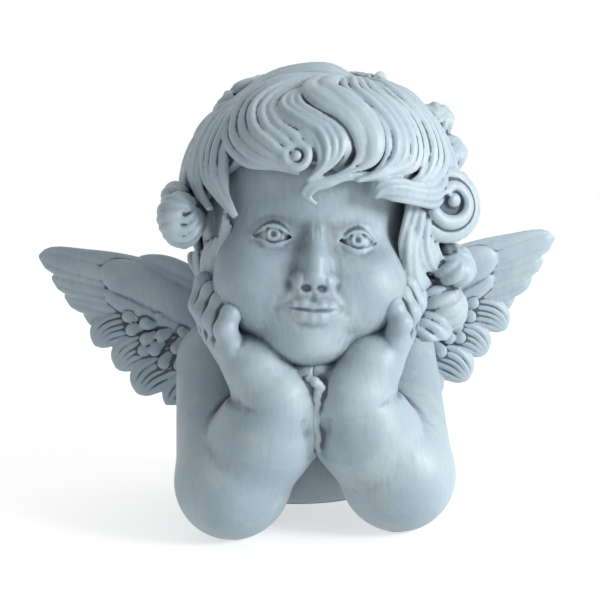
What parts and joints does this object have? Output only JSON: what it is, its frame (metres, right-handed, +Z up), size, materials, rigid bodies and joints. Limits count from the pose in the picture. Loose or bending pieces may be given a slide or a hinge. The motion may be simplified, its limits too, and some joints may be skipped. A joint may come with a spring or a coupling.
{
  "type": "resin cherub figurine",
  "caption": "Hollow resin cherub bust that leans on its elbows with its chin in its hands, curly hair and two spread feathered wings.",
  "frame": {"origin": "centre of the felt pad under the trunk, on the table", "axes": "+Z up, -Y the way the face looks, +X to the right as a person facing the figure sees it"},
  "size_m": [0.3282, 0.1596, 0.2557],
  "materials": {
    "resin": "painted cast resin, pale blue-grey with a dark slate wash in the recesses",
    "steel": "plain drawn rod",
    "felt": "self-adhesive felt",
    "stopper": "soft moulded stopper"
  },
  "bodies": {
    "root": {"trunk": "resin", "pour_plug": "stopper", "base_pad": "felt", "head": "resin", "neck_rod": "steel", "hair": "resin", "left_arm": "resin", "right_arm": "resin", "left_elbow_pad": "felt", "right_elbow_pad": "felt", "left_wing": "resin", "right_wing": "resin", "left_wing_dowels": "steel", "right_wing_dowels": "steel"}
  },
  "joints": []
}
